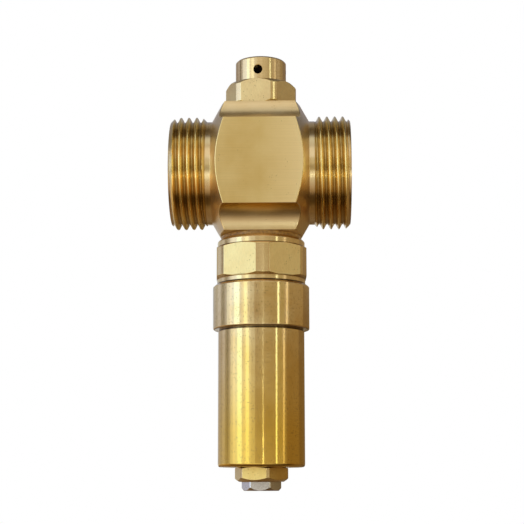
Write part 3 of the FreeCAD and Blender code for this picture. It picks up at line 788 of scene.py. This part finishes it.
def lower_hexagon():
    """Ring, large hexagon and neck of the drain cartridge, with its bore and seat."""
    before = [
        (9.9, NECK_BOTTOM - 10.2, 0),
        (10.9, NECK_BOTTOM - 10.2, 0),
        (11.4, NECK_BOTTOM - 9.7, 0),
        (11.4, NECK_BOTTOM, 0),
        (LOW_NECK, NECK_BOTTOM, 0),
        (LOW_NECK, HEX_BOTTOM, 0.05),
    ]
    low = ((LOW_NECK, HEX_BOTTOM), (HEX_CORNER, HEX_BOTTOM + HEX_CHAMFER))
    high = ((RING_RADIUS, RING - RING_THICK), (HEX_CORNER, RING - RING_THICK - HEX_CHAMFER))
    after = [
        (RING_RADIUS, RING - RING_THICK, 0.05),
        (RING_RADIUS, RING - 0.8, 0.12),
        (RING_RADIUS - 0.8, RING, 0.08),
        (9.88, RING, 0),
        (9.88, RING + 1.2, 0),
        (10.48, RING + 1.8, 0),
        (10.48, -14.4, 0),
        (9.88, -13.8, 0.05),
        (8.2, -13.8, 0.05),
        (8.2, RING - 3.8, 0),
        (6.0, RING - 5.8, 0),
        (6.0, SEAT, 0.04),
        (6.5, SEAT, 0.04),
        (7.0, SEAT + 0.8, 0),
        (7.0, RING - 7.1, 0),
        (9.9, RING - 7.1, 0),
    ]
    slots = [low_turned, low_flat, edge_metal]
    shape = (HEX_FLATS, HEX_CORNER, HEX_TURN, before, low, high, after)
    return hexagon_piece("lower_hexagon", *shape, slots, 0.1)


settle(lower_hexagon(), "drain_cartridge")


def gasket_ring():
    """Fibre ring squeezed between block and cartridge."""
    low, high = RING, RING + GASKET_THICK
    profile = [(10.68, low, 0), (11.75, low, 0.15), (11.75, high, 0.3), (10.68, high, 0)]
    return turned_piece("gasket_ring", profile, fibre, 160)


settle(gasket_ring(), "cartridge_gasket")

COLLAR, COLLAR_BOTTOM, SLEEVE_TOP, END = -33.3, -46.6, -47.2, -86.0
COLLAR_RADIUS, UNDERCUT_RADIUS, SLEEVE_RADIUS = 14.0, 12.2, 12.5
DRAIN_HOLES, DRAIN_CIRCLE = 8, 9.2
# Countersunk drain hole, as a (radius, height over the end face) outline of what is cut away.
DRAIN_HOLE = [(0, -2), (1.45, -2), (1.45, 0.05), (1.2, 0.25), (1.2, 4), (0, 4)]


def sleeve_shell():
    """Collar and sleeve in one, with the drilled end wall."""
    profile = [
        (12.9, COLLAR, 0.08),
        (COLLAR_RADIUS, COLLAR - 0.9, 0.14),
        (COLLAR_RADIUS, COLLAR_BOTTOM, 0.4),
        (UNDERCUT_RADIUS, COLLAR_BOTTOM, 0),
        (UNDERCUT_RADIUS, SLEEVE_TOP, 0),
        (SLEEVE_RADIUS, SLEEVE_TOP, 0.06),
        (SLEEVE_RADIUS, END, 0.8),
        (5.1, END, 0.08),
        (5.1, END + 2.9, 0),
        (10.5, END + 2.9, 0),
        (10.5, COLLAR - 12.2, 0),
        (11.5, COLLAR - 12.2, 0),
        (11.5, COLLAR - 1.2, 0),
        (12.7, COLLAR - 1.2, 0),
        (12.7, COLLAR, 0.03),
    ]
    piece = turned_piece("sleeve_shell", profile, sleeve_metal, 224)
    cutters = []
    for hole in range(DRAIN_HOLES):
        angle = TAU * hole / DRAIN_HOLES - math.pi / 2
        centre = (DRAIN_CIRCLE * MM * math.cos(angle), DRAIN_CIRCLE * MM * math.sin(angle), END * MM)
        cutters.append(plug_cutter(DRAIN_HOLE, 32, sleeve_metal, Matrix.Translation(centre)))
    drill(piece, cutters)
    return piece


settle(sleeve_shell(), "drain_sleeve")

# End bush and screw

BUSH_FLATS, BUSH_CORNER, BUSH_TURN = 14.0, 7.85, -15.2
SCREW_FLATS, SCREW_CORNER, SCREW_TURN = 10.0, 5.65, -3.4
BUSH_BOTTOM = END - 4.1
SCREW_BOTTOM, SCREW_TIP = BUSH_BOTTOM - 2.55, -80.7


def bush_hexagon():
    """Small brass hexagon under the sleeve."""
    before = [(3.1, BUSH_BOTTOM, 0.05), (6.35, BUSH_BOTTOM, 0.08)]
    low = ((6.35, BUSH_BOTTOM), (BUSH_CORNER, BUSH_BOTTOM + 0.95))
    high = ((7.0, END), (BUSH_CORNER, END - 0.3))
    after = [(6.9, END, 0), (5.0, END, 0), (5.0, END + 3.4, 0), (4.5, END + 3.9, 0), (3.1, END + 3.9, 0)]
    slots = [turned, bush_flat, edge_metal]
    shape = (BUSH_FLATS, BUSH_CORNER, BUSH_TURN, before, low, high, after)
    return hexagon_piece("bush_hexagon", *shape, slots, 0.1)


settle(bush_hexagon(), "end_bush")


def screw_hexagon():
    """Steel screw in the bush, a hexagon head below."""
    low = ((4.95, SCREW_BOTTOM), (SCREW_CORNER, SCREW_BOTTOM + 0.8))
    high = ((3.0, BUSH_BOTTOM), (SCREW_CORNER, BUSH_BOTTOM))
    before = [(AXIS, SCREW_BOTTOM, 0), (4.95, SCREW_BOTTOM, 0.12)]
    after = [(3.0, BUSH_BOTTOM, 0), (3.0, SCREW_TIP - 0.4, 0), (2.6, SCREW_TIP, 0), (AXIS, SCREW_TIP, 0)]
    shape = (SCREW_FLATS, SCREW_CORNER, SCREW_TURN, before, low, high, after)
    return hexagon_piece("screw_hexagon", *shape, [steel, steel, steel], 0.1)


settle(screw_hexagon(), "end_screw")

# Springs


def coil(name, node, mean, wire, turns, fixed_at, moving_at):
    """A round-wire spring between a fixed seat and one on a moving body."""
    steps, sides = turns * 36, 12
    bottom, top = sorted((fixed_at, moving_at))
    vertices, faces = [], []
    run = top - bottom - 2 * wire
    for i in range(steps + 1):
        angle = TAU * turns * i / steps
        rise = bottom + wire + run * i / steps
        for j in range(sides):
            around = TAU * j / sides
            r = mean + wire * math.cos(around)
            z = rise + wire * math.sin(around)
            vertices.append((r * math.cos(angle) * MM, r * math.sin(angle) * MM, z * MM))
    for i in range(steps):
        for j in range(sides):
            k = (j + 1) % sides
            faces.append((i * sides + j, i * sides + k, (i + 1) * sides + k, (i + 1) * sides + j))
    faces.append(tuple(range(sides - 1, -1, -1)))
    faces.append(tuple(steps * sides + j for j in range(sides)))
    piece = mesh_object(name, vertices, faces, [0] * len(faces), [spring_wire])
    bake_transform(piece)
    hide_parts(node)


coil("vent_coil", "vent_spring", 3.6, 0.25, 4, 14.6, 19.6)
coil("return_coil", "return_spring", 9.0, 0.4, 5, -27.3, -37.6)
coil("lower_coil", "overtravel_spring", 8.55, 0.75, 6, -79.1, -56.8)

# Materials of the CAD nodes that stay

KEPT = {
    "vent_oring": rubber,
    "vent_plug": inside_metal,
    "vent_seal": rubber,
    "vent_retainer": steel_plate,
    "sleeve_oring": rubber,
    "guide_plate": steel_plate,
    "shutter": inside_metal,
    "shutter_seal": rubber,
    "shutter_nut": inside_metal,
    "thermostat_piston": steel_plate,
    "thermostat_guide": inside_metal,
    "thermostat_cup": copper,
    "thermostat_boot": rubber,
    "wax_charge": wax_fill,
    "spring_plate": steel_plate,
}
for node, material in KEPT.items():
    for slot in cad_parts[node].material_slots:
        slot.material = material

# Floor, room and lights

# Lengths in metres. WORLD_FILL is the world's light on the object, less than the white that is seen.
FLOOR_LEVEL, FLOOR_HALF = -0.25, 6.0
WORLD_FILL = 0.45


def direction(azimuth, elevation):
    """A unit vector from the object: azimuth 0 is the front, growing to the right."""
    a, e = math.radians(azimuth), math.radians(elevation)
    return Vector((math.sin(a) * math.cos(e), -math.cos(a) * math.cos(e), math.sin(e)))


def plain_scene():
    """Pale floor below the valve and a world that is white where it is seen."""
    corners = [(FLOOR_HALF * i, FLOOR_HALF * j, 0) for i, j in ((-1, -1), (1, -1), (1, 1), (-1, 1))]
    material, tree, shader = plain_material("floor_paper")
    cloud = noise(tree, place_of(tree), 6.0, 3.0, 0.5)
    tree.links.new(ramp(tree, cloud, [(0.3, 0.80), (0.7, 0.83)]), shader.inputs["Base Color"])
    shader.inputs["Roughness"].default_value = 0.8
    mesh = bpy.data.meshes.new("floor")
    mesh.from_pydata(corners, [], [(0, 1, 2, 3)])
    mesh.materials.append(material)
    floor = bpy.data.objects.new("floor", mesh)
    floor.location = (0, 0, FLOOR_LEVEL)
    bpy.context.scene.collection.objects.link(floor)

    world = bpy.data.worlds.new("studio")
    bpy.context.scene.world = world
    world.use_nodes = True
    tree = world.node_tree
    ray = add(tree, "ShaderNodeLightPath").outputs
    seen = math_node(tree, "MAXIMUM", ray["Is Camera Ray"], ray["Is Glossy Ray"])
    seen = math_node(tree, "MAXIMUM", seen, ray["Is Transmission Ray"])
    back = tree.nodes["Background"]
    back.inputs["Color"].default_value = (1, 1, 1, 1)
    tree.links.new(remap(tree, seen, 0.0, 1.0, WORLD_FILL, 1.0), back.inputs["Strength"])


def card(name, vertices, faces, paint):
    """A studio card that only shows in reflections; paint makes its colour and strength."""
    mesh = bpy.data.meshes.new(name)
    mesh.from_pydata(vertices, [], faces)
    material, tree, shader = plain_material(name)
    tree.nodes.remove(shader)
    colour, level = paint(tree)
    glow = add(tree, "ShaderNodeEmission", {"Color": colour, "Strength": level})
    tree.links.new(glow.outputs[0], tree.nodes["Material Output"].inputs["Surface"])
    mesh.materials.append(material)
    piece = bpy.data.objects.new(name, mesh)
    bpy.context.scene.collection.objects.link(piece)
    piece.visible_camera = False
    piece.visible_diffuse = False
    piece.visible_shadow = False
    piece.visible_transmission = False


def standing_card(name, start, end, low, high, tone, distance=0.9, middle=-0.03):
    """A card bent round the valve from one azimuth to another, between two elevations."""
    count = max(2, int(abs(end - start) / 4) + 1)
    vertices = []
    for a in np.linspace(start, end, count):
        flat = direction(a, 0) * distance
        for e in (low, high):
            vertices.append((flat.x, flat.y, distance * math.tan(math.radians(e)) + middle))
    faces = [(2 * i, 2 * i + 2, 2 * i + 3, 2 * i + 1) for i in range(count - 1)]
    peak = max(tone)
    card(name, vertices, faces, lambda tree: ((*[c / peak for c in tone], 1), peak))


# The room in a slice across the ports: colour by angle above the front horizon, over the top to the back
# and, with negative angles, under the valve. Its brightness is held in the ramp as a share of ROOM_PEAK.
ROOM_PEAK = 1.1
ROOM = [
    (-165, (0.14, 0.09, 0.04)),
    (-135, (0.24, 0.18, 0.12)),
    (-105, (0.21, 0.14, 0.07)),
    (-92, (0.17, 0.10, 0.04)),
    (-82, (0.07, 0.04, 0.012)),
    (-62, (0.06, 0.035, 0.012)),
    (-57, (0.20, 0.14, 0.08)),
    (-50, (0.42, 0.31, 0.19)),
    (-43, (0.55, 0.45, 0.34)),
    (-36, (0.63, 0.55, 0.46)),
    (-30, (0.70, 0.66, 0.56)),
    (-24, (0.76, 0.74, 0.62)),
    (-17, (1.02, 1.06, 0.98)),
    (-10, (0.86, 0.89, 0.88)),
    (24, (1.00, 1.00, 1.00)),
    (38, (0.97, 0.95, 0.90)),
    (46, (1.02, 1.02, 0.98)),
    (49, (0.64, 0.61, 0.55)),
    (55, (0.66, 0.64, 0.58)),
    (60, (0.78, 0.82, 0.80)),
    (74, (0.80, 0.84, 0.82)),
    (77, (0.30, 0.30, 0.35)),
    (82, (0.13, 0.11, 0.08)),
    (97, (0.13, 0.11, 0.08)),
    (100, (0.06, 0.04, 0.02)),
    (104, (0.10, 0.08, 0.05)),
    (110, (0.20, 0.18, 0.14)),
    (120, (0.28, 0.26, 0.23)),
    (135, (0.30, 0.30, 0.32)),
    (165, (0.35, 0.37, 0.50)),
]


def room_paint(tree):
    """Colour from the angle round the port axis, by the list above."""
    parts = parts_of(tree, place_of(tree))
    angle = math_node(tree, "ARCTAN2", parts[2], math_node(tree, "MULTIPLY", parts[1], -1.0))
    stops = [((a + 180) / 360, tuple(c / ROOM_PEAK for c in tone)) for a, tone in ROOM]
    return ramp(tree, remap(tree, angle, -math.pi, math.pi), stops)


def side_share(tree, start, end):
    """Where a place lies between two distances to the right, as 0 to 1."""
    return remap(tree, parts_of(tree, place_of(tree))[0], start, end)


def under_paint(tree):
    """The room's colours for the sheet under the valve, lighter on the left, with a faint glow far out."""
    share = side_share(tree, -0.5, 0.5)
    shade = ramp(tree, share, [(0.2, 1.0), (0.5, 0.67), (0.62, 0.52), (0.9, 0.3)])
    tone = mixed(tree, "MULTIPLY", 1.0, room_paint(tree), shade)
    stops = [(0.0, (0.18, 0.13, 0.07)), (0.35, 0.0), (0.7, 0.0), (1.0, (0.12, 0.06, 0.016))]
    glow = ramp(tree, share, stops)
    return mixed(tree, "ADD", 1.0, tone, glow), ROOM_PEAK * 1.5


def over_paint(tree):
    """The room's colours for the vault, darker far to the right."""
    shade = ramp(tree, side_share(tree, 0.35, 0.9), [(0.0, 1.0), (1.0, 0.5)])
    return mixed(tree, "MULTIPLY", 1.0, room_paint(tree), shade), ROOM_PEAK


def room():
    """A wide vault over the valve and a sheet under it."""
    distance, half, under = 1.2, 2.4, -0.155
    vertices = []
    turns = np.radians(np.linspace(20, 180, 33))
    for a in turns:
        for x in (-half, half):
            vertices.append((x, -distance * math.cos(a), distance * math.sin(a)))
    faces = [(2 * i, 2 * i + 1, 2 * i + 3, 2 * i + 2) for i in range(len(turns) - 1)]
    card("room_over", vertices, faces, over_paint)
    low = [(half * i, half * j, under) for i, j in ((-1, -1), (1, -1), (1, 1), (-1, 1))]
    card("room_under", low, [(0, 1, 2, 3)], under_paint)


def glint_card(name, azimuth, elevation, width, height, level, tint, distance):
    """A small flat card turned to the valve, for a narrow highlight."""
    middle = direction(azimuth, elevation) * distance
    across = Vector((-middle.y, middle.x, 0)).normalized() * width / 2
    up = across.cross(middle).normalized() * height / 2
    vertices = [tuple(middle + across * i + up * j) for i, j in ((-1, -1), (1, -1), (1, 1), (-1, 1))]
    card(name, vertices, [(0, 1, 2, 3)], lambda tree: ((*tint, 1), level))


def lamp(name, azimuth, elevation, width, height, level, tint=(1, 1, 1), distance=0.8, aim=-0.03, lean=0):
    """A soft box aimed at the valve; level is its brightness as seen, where 1 is white."""
    data = bpy.data.lights.new(name, "AREA")
    data.shape = "RECTANGLE"
    data.size = width
    data.size_y = height
    data.energy = level * math.pi * width * height
    data.color = tint
    light = bpy.data.objects.new(name, data)
    where = direction(azimuth, elevation) * distance + Vector((0, 0, aim))
    light.location = where
    facing = (Vector((0, 0, aim)) - where).to_track_quat("-Z", "Y").to_matrix()
    light.rotation_euler = (facing @ Matrix.Rotation(math.radians(lean), 3, "Z")).to_euler()
    bpy.context.scene.collection.objects.link(light)
    return light


plain_scene()

# Standing panels in azimuth order, from behind on the left round the front to behind on the right. Each has
# four tones from the bottom up, for what is seen in the sleeve, the collar, the block and the cap. LEVELS
# holds the elevations where these four parts begin and end.
PANELS = [
    (-180, -160, (0.66, 0.68, 0.72), (0.30, 0.31, 0.34), (0.90, 0.98, 1.00), (0.60, 0.62, 0.66)),
    (-160, -125, (0.45, 0.45, 0.50), (0.33, 0.34, 0.34), (0.76, 0.82, 0.82), (0.34, 0.31, 0.30)),
    (-125, -110, (0.56, 0.58, 0.78), (0.60, 0.62, 0.68), (0.84, 0.98, 1.15), (0.50, 0.50, 0.60)),
    (-110, -102, (0.38, 0.38, 0.40), (0.05, 0.04, 0.03), (0.70, 0.76, 0.80), (0.14, 0.13, 0.11)),
    (-102, -95, (0.28, 0.28, 0.29), (0.05, 0.04, 0.03), (0.70, 0.76, 0.80), (0.38, 0.42, 0.50)),
    (-95, -88, (0.52, 0.55, 0.68), (0.26, 0.28, 0.27), (0.75, 0.82, 0.95), (0.62, 0.70, 0.95)),
    (-88, -79, (0.95, 1.05, 1.25), (0.84, 0.94, 0.92), (1.10, 1.28, 1.40), (1.15, 1.38, 1.90)),
    (-79, -72, (1.22, 1.36, 1.66), (1.20, 1.36, 1.35), (1.20, 1.38, 1.45), (1.20, 1.45, 2.00)),
    (-72, -65, (1.07, 1.31, 1.70), (1.00, 1.12, 1.20), (1.10, 1.30, 1.45), (1.20, 1.50, 2.30)),
    (-65, -51, (0.32, 0.36, 0.40), (0.32, 0.36, 0.40), (0.34, 0.38, 0.40), (0.39, 0.46, 0.63)),
    (-51, -46, (0.86, 0.92, 1.00), (0.80, 0.82, 0.75), (0.95, 1.02, 1.05), (1.00, 1.05, 1.20)),
    (-46, -40, (1.00, 1.06, 0.95), (0.90, 0.88, 0.70), (1.15, 1.22, 1.10), (1.25, 1.40, 1.45)),
    (-40, -31, (1.42, 1.62, 1.20), (1.40, 1.55, 1.12), (1.45, 1.62, 1.35), (1.50, 1.75, 1.90)),
    (-31, -25, (0.78, 0.82, 0.76), (0.86, 0.92, 0.88), (0.90, 0.94, 0.85), (0.90, 0.95, 1.05)),
    (-25, -15, (0.58, 0.58, 0.52), (0.62, 0.66, 0.66), (0.74, 0.74, 0.62), (0.79, 0.80, 0.78)),
    (-15, -3, (0.29, 0.22, 0.12), (0.32, 0.26, 0.17), (0.62, 0.56, 0.38), (0.64, 0.58, 0.44)),
    (-3, 8, (0.30, 0.23, 0.10), (0.34, 0.28, 0.17), (0.74, 0.68, 0.46), (0.68, 0.62, 0.46)),
    (8, 47, (0.35, 0.262, 0.10), (0.355, 0.28, 0.14), (0.60, 0.51, 0.32), (0.52, 0.46, 0.26)),
    (47, 58, (0.42, 0.34, 0.12), (0.40, 0.33, 0.16), (0.56, 0.48, 0.28), (0.50, 0.42, 0.24)),
    (58, 71, (0.40, 0.33, 0.16), (0.42, 0.35, 0.22), (0.58, 0.51, 0.33), (0.60, 0.50, 0.33)),
    (71, 120, (0.29, 0.20, 0.08), (0.33, 0.25, 0.14), (0.64, 0.54, 0.32), (0.40, 0.31, 0.17)),
    (120, 180, (0.21, 0.14, 0.06), (0.23, 0.17, 0.09), (0.44, 0.35, 0.22), (0.26, 0.19, 0.12)),
]
LEVELS = [-5.0, 6.7, 8.7, 13.0, 24.0]
for number, (start, end, *tones) in enumerate(PANELS):
    for letter, low, high, tone in zip("abcd", LEVELS, LEVELS[1:], tones):
        standing_card("panel_%02d%s" % (number, letter), start, end, low, high, tone)
standing_card("skirt_left", -180, -25, -9.5, -5.0, (0.90, 0.92, 0.90))
standing_card("skirt_right", -25, 60, -9.5, -5.0, (1.10, 1.08, 0.88))
standing_card("skirt_back", 60, 180, -9.5, -5.0, (0.24, 0.18, 0.09))

room()

lamp("softbox_left", -58, 10, 0.195, 0.43, 1.75, (0.65, 0.91, 1.0))
lamp("strip_right", 42.8, 10, 0.050, 0.43, 2.1, (0.86, 1.0, 0.82), lean=-8)
lamp("strip_far_right", 65.8, 10, 0.050, 0.43, 1.1, (1.0, 0.92, 0.76), lean=-20)
glint_card("glint_front", 6.2, -17, 0.016, 0.045, 9.5, (0.90, 1.0, 0.92), distance=0.40)
top = lamp("softbox_top", 0, 73, 0.9, 0.62, 1.0)
top.visible_glossy = False

# Camera

# The focal length is FOCAL pixels in a picture that is WIDTH pixels wide.
FOCAL, WIDTH, SENSOR = 1400, 524, 36
AZIMUTH, ELEVATION, DISTANCE, ROLL = 1.516, -9.424, 0.40984, -0.00154
target = Vector((0.000248, 0, -0.026518))
camera_data = bpy.data.cameras.new("camera")
camera_data.lens = FOCAL * SENSOR / WIDTH
camera_data.sensor_width = SENSOR
camera_data.clip_start = 0.01
camera = bpy.data.objects.new("camera", camera_data)
toward = direction(AZIMUTH, ELEVATION)
camera.location = target + toward * DISTANCE
aim = (-toward).to_track_quat("-Z", "Y").to_matrix().to_4x4()
camera.matrix_world = Matrix.Translation(camera.location) @ aim @ Matrix.Rotation(ROLL, 4, "Z")
bpy.context.scene.collection.objects.link(camera)
bpy.context.scene.camera = camera

bpy.context.scene.view_settings.view_transform = "Standard"
